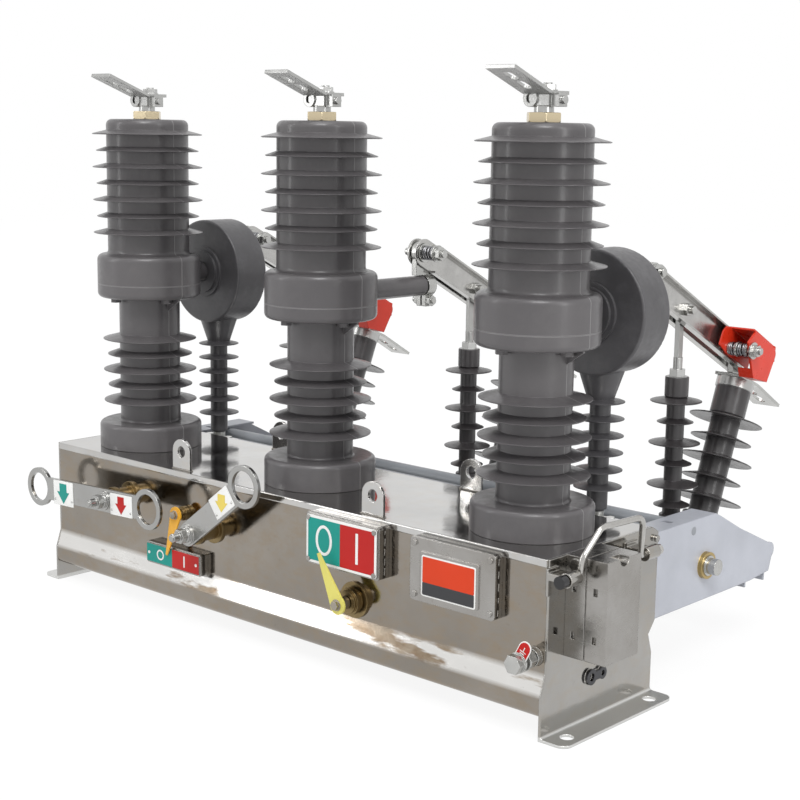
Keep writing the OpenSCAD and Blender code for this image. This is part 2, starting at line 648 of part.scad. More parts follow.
module energy_indicator() color("#3e7f74") off_tank() {
    plate_box(-223, -113, 70, 99, out(12), 3);
    along_y(out(13.5), out(11)) rrect(-221, -115, 72, 97, 2);
}
module nameplate_box() color("#5b5a5c") off_lid() {
    plate_box(249, 372, 121, 195, out(13), 5);
    along_y(out(14.5), out(12)) rrect(265, 350, 129, 180, 2);
    for (x = [256, 365], z = [128, 188]) rod_y(out(15), out(12), x, z, 3.5);
}
module boss(p, r, y, spindle, flange) difference() {
    union() {
        rod_y(y, out(0), p[0], p[1], r);
        rod_y(out(3), out(0), p[0], p[1], flange);
        rod_y(y + 3, y + 9, p[0], p[1], r + 2.5);
    }
    rod_y(y - 1, out(0.5), p[0], p[1], spindle + fit);
}
module front_bosses() color("#c0a860") {
    for (p = [open_lever, charge_lever]) boss(p, 13, lever_y + lever_t + 6, 8, 19);
    boss(main_pivot, 14, out(16), 6, 22);
    boss(energy_pivot, 7, out(10), 3.5, 9);
}
earth = [in_x - 12.5, 91];
module earth_bolt() color("#b4b4ae") {
    rod_y(out(30), out(0), earth[0], earth[1], 6);
    rod_y(out(8), out(0), earth[0], earth[1], 10);
    for (d = [29, 21]) rod_y(out(d + 2.5), out(d), earth[0], earth[1], 11.5);
    hex_y(out(21.5), out(9), earth[0], earth[1], 18);
    hex_y(out(41), out(31), earth[0], earth[1], 19);
}
// ring of an operating eye and the strip leading to it, in (x, z)
module eye2(p, q, w, ro, ri) difference() {
    union() {
        translate(p) circle(w / 2);
        translate(p) rotate(atan2(q[1] - p[1], q[0] - p[0])) translate([0, -w / 2]) square([norm(q - p), w]);
        translate(q) circle(ro);
    }
    translate(q) circle(ri);
}
function reach(p, l, a) = [p[0] + l * cos(a), p[1] + l * sin(a)];
// washers, nut and stud end on a lever's face
module lever_bolt(p, y) {
    rod_y(y - 3.5, y, p[0], p[1], 13);
    rod_y(y - 6, y - 3, p[0], p[1], 10);
    hex_y(y - 15, y - 5, p[0], p[1], 17);
    rod_y(y - 25, y - 14, p[0], p[1], 5.5);
    rod_y(y - 27, y - 24, p[0], p[1], 4);
}
module lever_spindle(p) {
    rod_y(lever_y + 1, out(0.8), p[0], p[1], 8);
    rod_y(lever_y + lever_t - 0.5, lever_y + lever_t + 5, p[0], p[1], 12);
    lever_bolt(p, lever_y + 0.5);
}
module open_close_lever() color("#a8a49c") {
    along_y(lever_y, lever_y + lever_t) difference() {
        for (a = open_arms) eye2(open_lever, reach(open_lever, a[0], a[1]), 31, 27, 20);
        for (a = open_arms) translate(reach(open_lever, a[0], a[1])) circle(20);
    }
    lever_spindle(open_lever);
}
module charging_lever() color("#a8a49c") {
    p = charge_lever;
    translate([p[0], 0, p[1]]) rotate([0, -charge_arm[1], 0]) along_y(lever_y, lever_y + lever_t)
        eye2([0, 0], [charge_arm[0], 0], 30, 27, 20);
    lever_spindle(p);
}
// pointer blade in (x, z), from its pivot p to its tip q
module pointer2(p, q, head) {
    d = (q - p) / norm(q - p); n = [-d[1], d[0]];
    translate(p) circle(head);
    polygon([p + 0.96 * head * n, p - 0.96 * head * n, q - 1.5 * n, q + 1.5 * n]);
}
module main_pointer() color("#d8cc50") {
    p = main_pivot;
    along_y(out(31.5), out(28.5)) pointer2(p, [120, 152], 11.5);
    rod_y(out(29), out(0.8), p[0], p[1], 6);
    rod_y(out(29), out(17), p[0], p[1], 8);
    rod_y(out(33), out(31), p[0], p[1], 7);
    hex_y(out(37), out(32), p[0], p[1], 10);
}
module energy_pointer() color("#e0a020") {
    p = energy_pivot;
    along_y(out(18.5), out(16.5)) pointer2(p, [-175, 89], 10.5);
    rod_y(out(17), out(0.8), p[0], p[1], 3.5);
    rod_y(out(20), out(18), p[0], p[1], 6);
    hex_y(out(24), out(19), p[0], p[1], 9);
}

tank_body();
tank_lid();
end_plate_left();
end_plate_right();
plug_box();
carry_handle();
pole_lower_a();
pole_lower_b();
pole_lower_c();
pole_upper_a();
pole_upper_b();
pole_upper_c();
line_terminals();
arm_contacts();
current_transformers();
ct_rail();
bracket_left();
bracket_right();
tie_tube();
rear_beam();
rear_posts();
rear_contacts();
isolator_shaft();
blade_a();
blade_b();
blade_c();
blade_guard_a();
blade_guard_b();
blade_guard_c();
blade_bar_a();
blade_bar_b();
blade_bar_c();
pull_insulator_a();
pull_insulator_b();
pull_insulator_c();
main_indicator();
energy_indicator();
nameplate_box();
front_bosses();
earth_bolt();
open_close_lever();
charging_lever();
main_pointer();
energy_pointer();
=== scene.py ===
import json
import math
import random

import bmesh
import bpy
from mathutils import Matrix, Vector


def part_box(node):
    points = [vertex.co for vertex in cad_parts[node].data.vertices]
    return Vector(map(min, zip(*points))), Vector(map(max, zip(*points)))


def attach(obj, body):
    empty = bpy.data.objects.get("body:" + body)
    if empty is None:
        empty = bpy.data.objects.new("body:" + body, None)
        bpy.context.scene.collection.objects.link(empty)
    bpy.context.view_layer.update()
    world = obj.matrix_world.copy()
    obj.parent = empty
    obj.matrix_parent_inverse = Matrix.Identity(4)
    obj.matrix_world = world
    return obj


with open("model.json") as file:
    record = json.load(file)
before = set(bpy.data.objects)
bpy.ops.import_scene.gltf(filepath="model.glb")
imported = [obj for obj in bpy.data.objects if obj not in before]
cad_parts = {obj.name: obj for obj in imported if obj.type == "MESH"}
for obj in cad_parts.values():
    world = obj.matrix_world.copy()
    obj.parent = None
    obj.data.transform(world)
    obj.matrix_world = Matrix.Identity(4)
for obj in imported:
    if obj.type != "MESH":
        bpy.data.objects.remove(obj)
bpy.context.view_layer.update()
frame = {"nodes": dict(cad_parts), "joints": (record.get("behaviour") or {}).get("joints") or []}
NODES = frame["nodes"]
RNG = random.Random(7)
PHASES = {"a": -0.34, "b": 0.0, "c": 0.34}
JOINTS = {j["name"]: j for j in frame["joints"]}


def high(node, axis):
    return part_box(node)[1][axis]


def low(node, axis):
    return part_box(node)[0][axis]


# places read from the frame
POLE_Y = (low("pole_lower_b", 1) + high("pole_lower_b", 1)) / 2
WAIST_Z = high("pole_lower_b", 2)
CAP_Z = high("pole_upper_b", 2)
RAIL_TOP = high("ct_rail", 2)
HINGE = (JOINTS["blade_hinge_b"]["pos_m"][1], JOINTS["blade_hinge_b"]["pos_m"][2])
PULL_PIN = (JOINTS["pull_pin_b"]["pos_m"][1], JOINTS["pull_pin_b"]["pos_m"][2])
SHAFT = (JOINTS["isolator_shaft_turn"]["pos_m"][1], JOINTS["isolator_shaft_turn"]["pos_m"][2])
TILT = math.atan2(HINGE[1] - PULL_PIN[1], PULL_PIN[0] - HINGE[0])
ROD_TOP = PULL_PIN[1] - 0.085
ROD_FOOT = 0.146
POST_LEAN = 22.0
POST_LEN = 0.210
POST_TOP = (0.4347, 0.323)
FRONT_Y = -0.098
# x0, x1, z0, z1 of the sign faces, and the y of the boxes' fronts that carry them
MAIN_SIGN = (0.0885, 0.2025, 0.1345, 0.1925, -0.1165)
ENERGY_SIGN = (-0.2205, -0.1155, 0.0725, 0.0965, -0.1115)
NAME_LABEL = (0.2680, 0.3465, 0.1290, 0.1765, -0.1125)
SEAM_Y = -0.1056
# the guard's bolt, along a blade from the hinge and over its middle line
GUARD_BOLT = (0.2304, -0.0072)
HASP_X = high("end_plate_right", 0) - 0.033 + 0.0002
JOINT_Y = {name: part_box(name)[0][1] + 0.0265 for name in ("open_close_lever", "charging_lever")}
EARTH = ((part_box("earth_bolt")[0][0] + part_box("earth_bolt")[1][0]) / 2, -0.1290,
         (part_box("earth_bolt")[0][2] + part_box("earth_bolt")[1][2]) / 2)


# ---------------------------------------------------------------- materials
class Mat:
    """A node material built step by step on a Principled shader."""

    def __init__(self, name, rough=0.5, metal=0.0, spec=0.5, coat=0.0, coat_rough=0.1, soft=0.0009):
        self.m = bpy.data.materials.new(name)
        self.m.use_nodes = True
        self.t = self.m.node_tree
        self.n = self.t.nodes
        self.b = self.n["Principled BSDF"]
        self.b.inputs["Roughness"].default_value = rough
        self.b.inputs["Metallic"].default_value = metal
        self.b.inputs["Specular IOR Level"].default_value = spec
        self.b.inputs["Coat Weight"].default_value = coat
        self.b.inputs["Coat Roughness"].default_value = coat_rough
        self.pos = self.new("ShaderNodeTexCoord").outputs["Object"]
        edge = self.new("ShaderNodeBevel", samples=6)
        edge.inputs["Radius"].default_value = soft
        self.link(edge.outputs["Normal"], self.b.inputs["Normal"])

    def new(self, kind, **kw):
        n = self.n.new(kind)
        for k, v in kw.items():
            setattr(n, k, v)
        return n

    def link(self, a, b):
        self.t.links.new(a, b)

    def mapped(self, scale=(1, 1, 1), rot=(0, 0, 0), loc=(0, 0, 0)):
        n = self.new("ShaderNodeMapping")
        n.inputs["Scale"].default_value = scale
        n.inputs["Rotation"].default_value = rot
        n.inputs["Location"].default_value = loc
        self.link(self.pos, n.inputs["Vector"])
        return n.outputs["Vector"]

    def noise(self, scale, detail=4.0, rough=0.55, vec=None, dist=0.0):
        n = self.new("ShaderNodeTexNoise")
        n.inputs["Scale"].default_value = scale
        n.inputs["Detail"].default_value = detail
        n.inputs["Roughness"].default_value = rough
        n.inputs["Distortion"].default_value = dist
        self.link(vec if vec is not None else self.pos, n.inputs["Vector"])
        return n.outputs["Fac"]

    def ramp(self, fac, stops):
        n = self.new("ShaderNodeValToRGB")
        els = n.color_ramp.elements
        while len(els) < len(stops):
            els.new(0.5)
        for e, (p, c) in zip(els, stops):
            e.position = p
            e.color = (c, c, c, 1) if isinstance(c, (int, float)) else (*c, 1)
        self.link(fac, n.inputs["Fac"])
        return n.outputs["Color"]

    def span(self, fac, a, b, c, d):
        n = self.new("ShaderNodeMapRange")
        for k, v in zip(("From Min", "From Max", "To Min", "To Max"), (a, b, c, d)):
            n.inputs[k].default_value = v
        self.link(fac, n.inputs["Value"])
        return n.outputs["Result"]

    def mix(self, fac, a, b, mode="MIX"):
        n = self.new("ShaderNodeMix", data_type="RGBA", blend_type=mode)
        for key, v in ((0, fac), (6, a), (7, b)):
            if hasattr(v, "is_linked") or hasattr(v, "links"):
                self.link(v, n.inputs[key])
            else:
                n.inputs[key].default_value = v if key == 0 else (*v, 1)
        return n.outputs[2]

    def math(self, op, a, b=None, c=None):
        n = self.new("ShaderNodeMath", operation=op)
        for i, v in enumerate((a, b, c)):
            if v is None:
                continue
            if isinstance(v, (int, float)):
                n.inputs[i].default_value = v
            else:
                self.link(v, n.inputs[i])
        return n.outputs[0]

    def axis(self, i):
        n = self.new("ShaderNodeSeparateXYZ")
        self.link(self.pos, n.inputs[0])
        return n.outputs[i]

    def beyond(self, value, edge, soft=0.0004):
        """1 where value is over edge, 0 where it is under."""
        return self.span(value, edge - soft, edge + soft, 0.0, 1.0)

    def line(self, value, at, half, soft=0.0003):
        """1 on a line of that half width about value == at."""
        away = self.math("ABSOLUTE", self.math("SUBTRACT", value, at))
        return self.span(away, half, half + soft, 1.0, 0.0)

    def where(self, mask, values):
        """Blends shader sockets to other values where mask is 1."""
        for key, v in values.items():
            sock = self.b.inputs[key]
            colour = key == "Base Color"
            n = self.new("ShaderNodeMix", data_type="RGBA" if colour else "FLOAT")
            before, after, out = (6, 7, 2) if colour else (2, 3, 0)
            if sock.is_linked:
                self.link(sock.links[0].from_socket, n.inputs[before])
            else:
                n.inputs[before].default_value = sock.default_value
            n.inputs[after].default_value = v
            self.link(mask, n.inputs[0])
            self.link(n.outputs[out], sock)

    def metal_where(self, mask, tone, rough):
        """Turns to bare metal where mask is 1."""
        self.where(mask, {"Base Color": (*tone, 1), "Roughness": rough, "Metallic": 1.0})

    def bump(self, height, strength, distance=0.001):
        n = self.new("ShaderNodeBump")
        n.inputs["Strength"].default_value = strength
        n.inputs["Distance"].default_value = distance
        self.link(height, n.inputs["Height"])
        prev = self.b.inputs["Normal"]
        if prev.is_linked:
            self.link(prev.links[0].from_socket, n.inputs["Normal"])
        self.link(n.outputs["Normal"], prev)

    def color(self, sock):
        self.link(sock, self.b.inputs["Base Color"])

    def rough(self, sock):
        self.link(sock, self.b.inputs["Roughness"])


def pole_resin():
    m = Mat("pole_resin", spec=0.4, coat=0.22, coat_rough=0.14, soft=0.0015)
    big = m.noise(7, 3)
    fine = m.noise(130, 5, 0.6)
    col = m.ramp(big, [(0.3, (0.078, 0.073, 0.076)), (0.7, (0.100, 0.094, 0.096))])
    dust = m.ramp(m.noise(30, 6, 0.65), [(0.48, 0.0), (0.8, 0.25)])
    col = m.mix(dust, col, (0.15, 0.143, 0.14))
    # parting line of the mould, on both sides of each pole
    parting = m.line(m.axis(1), POLE_Y, 0.0005)
    seam = m.math("MAXIMUM", parting, m.line(m.axis(2), WAIST_Z, 0.0007))
    m.color(m.mix(m.math("MULTIPLY", seam, 0.5), col, (0.30, 0.29, 0.29)))
    m.rough(m.span(fine, 0.3, 0.7, 0.30, 0.46))
    m.bump(fine, 0.12, 0.0005)
    m.bump(m.noise(24, 3), 0.10, 0.002)
    m.bump(seam, 0.6, 0.0006)
    return m.m


def ct_resin():
    m = Mat("ct_resin", spec=0.45, coat=0.2, coat_rough=0.25, soft=0.0015)
    fine = m.noise(140, 5, 0.6)
    col = m.ramp(m.noise(12, 3), [(0.3, (0.050, 0.048, 0.051)), (0.7, (0.074, 0.071, 0.075))])
    m.color(m.mix(m.ramp(m.noise(26, 6, 0.7), [(0.5, 0.0), (0.82, 0.3)]), col, (0.17, 0.17, 0.175)))
    m.rough(m.span(fine, 0.3, 0.7, 0.36, 0.52))
    m.bump(fine, 0.14, 0.0006)
    foot = m.span(m.axis(2), RAIL_TOP + 0.0115, RAIL_TOP + 0.0125, 1.0, 0.0)
    m.metal_where(foot, (0.6, 0.6, 0.58), 0.35)
    return m.m


def insulator(name, metal_mask=None):
    m = Mat(name, spec=0.5, coat=0.25, coat_rough=0.2, soft=0.0012)
    fine = m.noise(170, 4, 0.6)
    col = m.ramp(m.noise(20, 4), [(0.3, (0.026, 0.023, 0.024)), (0.7, (0.042, 0.038, 0.039))])
    dust = m.ramp(m.noise(60, 6, 0.7), [(0.5, 0.0), (0.85, 0.22)])
    m.color(m.mix(dust, col, (0.10, 0.094, 0.09)))
    m.rough(m.span(fine, 0.3, 0.7, 0.30, 0.46))
    m.bump(fine, 0.1, 0.0005)
    if metal_mask:
        m.metal_where(metal_mask(m), (0.42, 0.42, 0.41), 0.3)
    return m.m


def pull_ends(m):
    """The rods and eyes above and below a pull insulator's body."""
    z = m.axis(2)
    return m.math("MAXIMUM", m.beyond(z, ROD_TOP), m.math("SUBTRACT", 1.0, m.beyond(z, ROD_FOOT)))


def post_ends(m):
    """The metal caps of a rear post, along its own leaning axis."""
    lean = math.radians(POST_LEAN)
    across = m.math("MULTIPLY", m.axis(1), math.sin(lean))
    along = m.math("ADD", across, m.math("MULTIPLY", m.axis(2), math.cos(lean)))
    top = POST_TOP[0] * math.sin(lean) + POST_TOP[1] * math.cos(lean)
    foot = m.math("SUBTRACT", 1.0, m.beyond(along, top - POST_LEN + 0.0142))
    return m.math("MAXIMUM", m.beyond(along, top - 0.0132), foot)


def stainless(name, tone, rough=(0.07, 0.17), film=0.5, band=False, plus=None):
    """Bright rolled sheet under a thin brownish film; band paints a highlight in pale patches along the bend
    between skirt and wall, over a brown stain.
    """
    m = Mat(name, metal=1.0, soft=0.0018)
    cloud = m.noise(5, 4, 0.6)
    streak = m.noise(1.0, 5, 0.6, m.mapped((16, 16, 46)))
    mottle = m.noise(1.0, 5, 0.7, m.mapped((34, 34, 60)))
    brown = (tone[0] * 0.92, tone[1] * 0.80, tone[2] * 0.64)
    col = m.mix(m.ramp(cloud, [(0.35, 0.0), (0.68, 1.0)]), tone, tuple(c * 0.80 for c in tone))
    col = m.mix(m.ramp(mottle, [(0.45, 0.0), (0.66, film)]), col, brown)
    if band:
        z = m.axis(2)
        bend = m.math("MULTIPLY", m.span(z, 0.047, 0.053, 0.0, 1.0), m.span(z, 0.068, 0.075, 1.0, 0.0))
        # painted highlight: pale patches on the bend stand in for light caught by it; between them lies the
        # brown stain
        patches = m.noise(1.0, 5, 0.6, m.mapped((5, 5, 26), loc=(1.7, 0, 0.4)))
        painted_bend_highlight = m.ramp(patches, [(0.42, 0.10), (0.47, 1.0)])
        stain = m.mix(m.ramp(mottle, [(0.4, 0.0), (0.6, 1.0)]), (0.20, 0.125, 0.060), (0.30, 0.24, 0.17))
        col = m.mix(bend, col, m.mix(painted_bend_highlight, stain, (0.70, 0.69, 0.67)))
    spots = m.ramp(m.noise(90, 7, 0.7), [(0.62, 0.0), (0.78, 0.35)])
    m.color(m.mix(spots, col, tuple(c * 0.5 for c in brown)))
    m.rough(m.span(streak, 0.3, 0.7, *rough))
    m.bump(m.noise(5.0, 2, 0.5), 0.35, 0.004)
    m.bump(mottle, 0.14, 0.0008)
    if plus:
        plus(m)
    return m.m


def plate_extras(m):
    """Foot flanges paler as a painted highlight of their up-facing sheet and duller, and the hasp on the
    right-hand end plate painted dark as a painted reflection.
    """
    x, y, z = m.axis(0), m.axis(1), m.axis(2)
    # painted highlight: the foot flanges are paler than the rest of the plate
    m.metal_where(m.span(z, 0.0040, 0.0060, 1.0, 0.0), (0.62, 0.62, 0.605), 0.34)
    # painted reflection: the hasp is painted near black for the dark reflection it shows
    side = m.beyond(x, HASP_X)
    near = m.math("MULTIPLY", m.line(y, -0.0065, 0.024), m.line(z, 0.051, 0.012))
    m.metal_where(m.math("MULTIPLY", side, near), (0.075, 0.075, 0.08), 0.32)


def box_steel():
    """Duller sheet of the plug box, the indicator box and the nameplate box."""
    m = Mat("box_steel", metal=1.0, soft=0.0014)
    cloud = m.noise(9, 5, 0.65)
    col = m.mix(m.ramp(cloud, [(0.35, 0.0), (0.7, 1.0)]), (0.36, 0.35, 0.335), (0.27, 0.255, 0.235))
    col = m.mix(m.ramp(m.noise(110, 7, 0.7), [(0.6, 0.0), (0.8, 0.4)]), col, (0.15, 0.13, 0.11))
    # scorch along the seam between each box and its cover
    ragged = m.math("ADD", m.axis(1), m.span(m.noise(120, 5, 0.7), 0.3, 0.7, -0.0012, 0.0012))
    scorch = m.math("MULTIPLY", m.line(ragged, SEAM_Y, 0.0018, 0.0010), m.beyond(m.axis(2), 0.066))
    col = m.mix(m.math("MULTIPLY", scorch, 0.85), col, (0.035, 0.030, 0.026))
    m.color(col)
    m.rough(m.span(m.noise(1.0, 5, 0.6, m.mapped((30, 30, 120))), 0.3, 0.7, 0.18, 0.32))
    m.bump(m.noise(40, 5, 0.6), 0.06, 0.0006)
    return m.m


def galvanised(name="galvanised", tone=(0.56, 0.56, 0.55), rough=(0.26, 0.42), plus=None):
    m = Mat(name, metal=0.95, soft=0.0010)
    dark, light = tuple(c * 0.88 for c in tone), tuple(c * 1.07 for c in tone)
    mott = m.ramp(m.noise(45, 5, 0.6), [(0.3, dark), (0.7, light)])
    scratch = m.ramp(m.noise(1, 6, 0.7, m.mapped((60, 300, 300))), [(0.56, 0.0), (0.78, 0.22)])
    m.color(m.mix(scratch, mott, tuple(c * 0.66 for c in tone)))
    m.rough(m.span(m.noise(50, 5), 0.3, 0.7, *rough))
    m.bump(m.noise(300, 4), 0.06, 0.0003)
    if plus:
        plus(m)
    return m.m


def terminal_extras(m):
    """Brass nut at the foot of a line terminal and the grid pressed into the plate's underside."""
    z = m.axis(2)
    down = m.new("ShaderNodeSeparateXYZ")
    m.link(m.new("ShaderNodeNewGeometry").outputs["Normal"], down.inputs[0])
    under = m.span(down.outputs[2], -0.85, -0.75, 1.0, 0.0)
    grid = m.math("MULTIPLY", m.math("SINE", m.math("MULTIPLY", m.axis(0), 2600.0)),
                  m.math("SINE", m.math("MULTIPLY", m.axis(1), 2600.0)))
    m.bump(m.math("MULTIPLY", grid, under), 0.9, 0.0008)
    m.metal_where(m.span(z, CAP_Z + 0.0109, CAP_Z + 0.0111, 1.0, 0.0), (0.60, 0.51, 0.35), 0.26)


def shaft_bush(m):
    """Brass ring of the isolator shaft in each bracket."""
    dy = m.math("SUBTRACT", m.axis(1), SHAFT[0])
    dz = m.math("SUBTRACT", m.axis(2), SHAFT[1])
    r = m.math("SQRT", m.math("ADD", m.math("MULTIPLY", dy, dy), m.math("MULTIPLY", dz, dz)))
    m.metal_where(m.span(r, 0.0165, 0.0168, 1.0, 0.0), (0.42, 0.31, 0.13), 0.34)


def hub_metal(y_front):
    """A pointer's blade is painted, what is behind or in front of it is bare."""
    def go(m):
        away = m.math("ABSOLUTE", m.math("SUBTRACT", m.axis(1), y_front))
        m.metal_where(m.beyond(away, 0.0019, 0.0002), (0.33, 0.30, 0.25), 0.32)
    return go


def paint(name, col, rough=(0.32, 0.5), vary=0.10, bump=0.12, wear=None, plus=None,
          soft=0.0010, shine=0.45):
    m = Mat(name, spec=shine, coat=shine / 3, coat_rough=0.2, soft=soft)
    lo, hi = (tuple(c * (1 - vary) for c in col), tuple(min(1, c * (1 + vary * 0.6)) for c in col))
    base = m.ramp(m.noise(11, 4), [(0.3, lo), (0.7, hi)])
    if wear:
        chips = m.ramp(m.noise(95, 7, 0.72), [(0.66, 0.0), (0.72, 0.8)])
        base = m.mix(chips, base, wear)
    m.color(base)
    m.rough(m.span(m.noise(60, 5), 0.3, 0.7, *rough))
    m.bump(m.noise(260, 4), bump, 0.0004)
    if plus:
        plus(m)
    return m.m


def brass(name, tone):
    m = Mat(name, metal=1.0)
    col = m.ramp(m.noise(40, 5), [(0.3, tuple(c * 0.7 for c in tone)), (0.7, tone)])
    m.color(m.mix(m.ramp(m.noise(120, 6, 0.7), [(0.55, 0.0), (0.8, 0.6)]), col, (0.20, 0.15, 0.09)))
    m.rough(m.span(m.noise(90, 4), 0.3, 0.7, 0.22, 0.42))
    m.bump(m.noise(240, 4), 0.12, 0.0004)
    return m.m


def dark_end(m):
    """Black cap on the handle's front end."""
    mask = m.span(m.axis(1), -0.1072, -0.1068, 1.0, 0.0)
    m.where(mask, {"Base Color": (0.012, 0.012, 0.013, 1), "Metallic": 0.0})


MAT = {
    "tank": stainless("tank_steel", (0.30, 0.272, 0.238), band=True),
    # painted light: the lid, the tank's own sheet, is paler than the walls to stand in for the bright
    # reflection on its up-facing top
    "lid": stainless("lid_steel", (0.56, 0.555, 0.545), (0.05, 0.13), 0.2),
    "plates": stainless("end_plate_steel", (0.40, 0.39, 0.37), (0.09, 0.20), 0.3, plus=plate_extras),
    "box": box_steel(),
    "pole": pole_resin(),
    "ct": ct_resin(),
    "pull": insulator("pull_resin", pull_ends),
    "post": insulator("post_resin", post_ends),
    "galv": stainless("lever_steel", (0.40, 0.40, 0.39), (0.16, 0.26), 0.12),
    "blade": galvanised("blade_steel", (0.46, 0.455, 0.44), (0.14, 0.28)),
    "zinc": galvanised("bright_zinc", (0.47, 0.47, 0.455), (0.16, 0.30)),
    "handle": galvanised("handle_steel", (0.45, 0.44, 0.42), (0.10, 0.22), dark_end),
    "terminal": galvanised("terminal_zinc", (0.44, 0.44, 0.43), (0.18, 0.32), terminal_extras),
    "spring": galvanised("spring_steel", (0.26, 0.26, 0.27), (0.20, 0.34)),
    "bracket": paint("bracket_paint", (0.42, 0.435, 0.48), wear=(0.33, 0.34, 0.38), plus=shaft_bush,
                     soft=0.002),
    "rail": paint("rail_paint", (0.25, 0.265, 0.285), wear=(0.17, 0.18, 0.2)),
    "red": paint("guard_red", (0.60, 0.030, 0.010), (0.24, 0.38), 0.12, soft=0.0016, shine=0.32),
    "bar": paint("bar_red", (0.24, 0.016, 0.010), (0.35, 0.5), 0.15),
    "teal": paint("teal", (0.006, 0.27, 0.225), (0.36, 0.5), 0.08, shine=0.2),
    "sign_red": paint("sign_red", (0.45, 0.010, 0.008), (0.36, 0.5), 0.08, shine=0.2),
    "white": paint("sign_white", (0.78, 0.78, 0.76), (0.35, 0.5), 0.04),
    "yellow": paint("pointer_yellow", (0.66, 0.60, 0.13), (0.35, 0.5), 0.10, wear=(0.50, 0.40, 0.14),
                    plus=hub_metal(-0.128)),
    "arrow_yellow": paint("arrow_yellow", (0.74, 0.58, 0.10), (0.35, 0.5), 0.10),
    "orange": paint("pointer_orange", (0.76, 0.38, 0.02), (0.35, 0.5), 0.10, plus=hub_metal(-0.1155)),
    "black": paint("plate_black", (0.018, 0.019, 0.022), (0.3, 0.45), 0.2),
    "plate_red": paint("plate_red", (0.62, 0.045, 0.008), (0.36, 0.5), 0.06, shine=0.2),
    "weld": galvanised("weld_metal", (0.24, 0.225, 0.205), (0.28, 0.44)),
    "dull_brass": brass("dull_brass", (0.27, 0.20, 0.10)),
}

NODE_MAT = {
    "tank_body": "tank", "tank_lid": "lid", "end_plate_left": "plates", "end_plate_right": "plates",
    "plug_box": "box", "carry_handle": "handle", "line_terminals": "terminal", "arm_contacts": "zinc",
    "current_transformers": "ct", "ct_rail": "rail", "bracket_left": "bracket", "bracket_right": "bracket",
    "tie_tube": "rail", "rear_beam": "bracket", "rear_posts": "post", "rear_contacts": "zinc",
    "isolator_shaft": "zinc", "main_indicator": "box", "energy_indicator": "box", "nameplate_box": "box",
    "front_bosses": "dull_brass", "earth_bolt": "zinc", "open_close_lever": "galv", "charging_lever": "galv",
    "main_pointer": "yellow", "energy_pointer": "orange",
}
for k in PHASES:
    NODE_MAT.update({"pole_lower_" + k: "pole", "pole_upper_" + k: "pole", "blade_" + k: "blade",
                     "blade_guard_" + k: "red", "blade_bar_" + k: "bar", "pull_insulator_" + k: "pull"})
for name, obj in NODES.items():
    obj.data.materials.clear()
    obj.data.materials.append(MAT[NODE_MAT[name]])


# ---------------------------------------------------------------- mesh tools
def place(name, bm, mat, body, angle=35):
    """Makes one added piece from bm, riding on a CAD body."""
    bmesh.ops.recalc_face_normals(bm, faces=bm.faces)
    me = bpy.data.meshes.new(name)
    bm.to_mesh(me)
    bm.free()
    me.shade_smooth()
    me.set_sharp_from_angle(angle=math.radians(angle))
    me.materials.append(MAT[mat])
    ob = bpy.data.objects.new(name, me)
    bpy.context.scene.collection.objects.link(ob)
    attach(ob, body)
    return ob


def prism(bm, outline, y0, y1, hole=None, edge=0.0):
    """An outline in (x, z) made solid from y0 to y1, with an optional hole of as many points."""
    front = [bm.verts.new((x, y0, z)) for x, z in outline]
    back = [bm.verts.new((x, y1, z)) for x, z in outline]
    n = len(outline)
    walls = [bm.faces.new((front[i], front[(i + 1) % n], back[(i + 1) % n], back[i])) for i in range(n)]
    if hole is None:
        bm.faces.new(front[::-1])
        bm.faces.new(back)
    else:
        hf = [bm.verts.new((x, y0, z)) for x, z in hole]
        hb = [bm.verts.new((x, y1, z)) for x, z in hole]
        for i in range(n):
            j = (i + 1) % n
            bm.faces.new((hf[i], hf[j], front[j], front[i]))
            bm.faces.new((hb[j], hb[i], back[i], back[j]))
            bm.faces.new((hb[i], hb[j], hf[j], hf[i]))
    if edge:
        rim = [e for w in walls for e in w.edges if all(v in front for v in e.verts)]
        bmesh.ops.bevel(bm, geom=list(set(rim)), offset=edge, segments=2, affect="EDGES", profile=0.6)


def rounded(x0, x1, z0, z1, r, steps=5):
    """A rectangle with rounded corners."""
    pts = []
    corners = ((x1 - r, z1 - r, 0), (x0 + r, z1 - r, 90), (x0 + r, z0 + r, 180), (x1 - r, z0 + r, 270))
    for cx, cz, a in corners:
        for k in range(steps + 1):
            t = math.radians(a + 90 * k / steps)
            pts.append((cx + r * math.cos(t), cz + r * math.sin(t)))
    return pts


def oval(cx, cz, rx, rz, n=36):
    turns = [2 * math.pi * k / n for k in range(n)]
    return [(cx + rx * math.cos(t), cz + rz * math.sin(t)) for t in turns]


def turned_about(pts, centre, degrees):
    c, s = math.cos(math.radians(degrees)), math.sin(math.radians(degrees))
    return [(centre[0] + (x - centre[0]) * c - (z - centre[1]) * s,
             centre[1] + (x - centre[0]) * s + (z - centre[1]) * c) for x, z in pts]


def revolve(bm, profile, origin, along, n=24):
    """Turns (radius, distance) pairs about an axis from origin."""
    along = Vector(along).normalized()
    side = along.orthogonal().normalized()
    up = along.cross(side)
    rings = []
    for r, t in profile:
        c = Vector(origin) + along * t
        rings.append([bm.verts.new(c + (side * math.cos(a) + up * math.sin(a)) * max(r, 1e-5))
                      for a in (2 * math.pi * k / n for k in range(n))])
    for a, b in zip(rings, rings[1:]):
        for k in range(n):
            bm.faces.new((a[k], a[(k + 1) % n], b[(k + 1) % n], b[k]))
    bm.faces.new(rings[0][::-1])
    bm.faces.new(rings[-1])


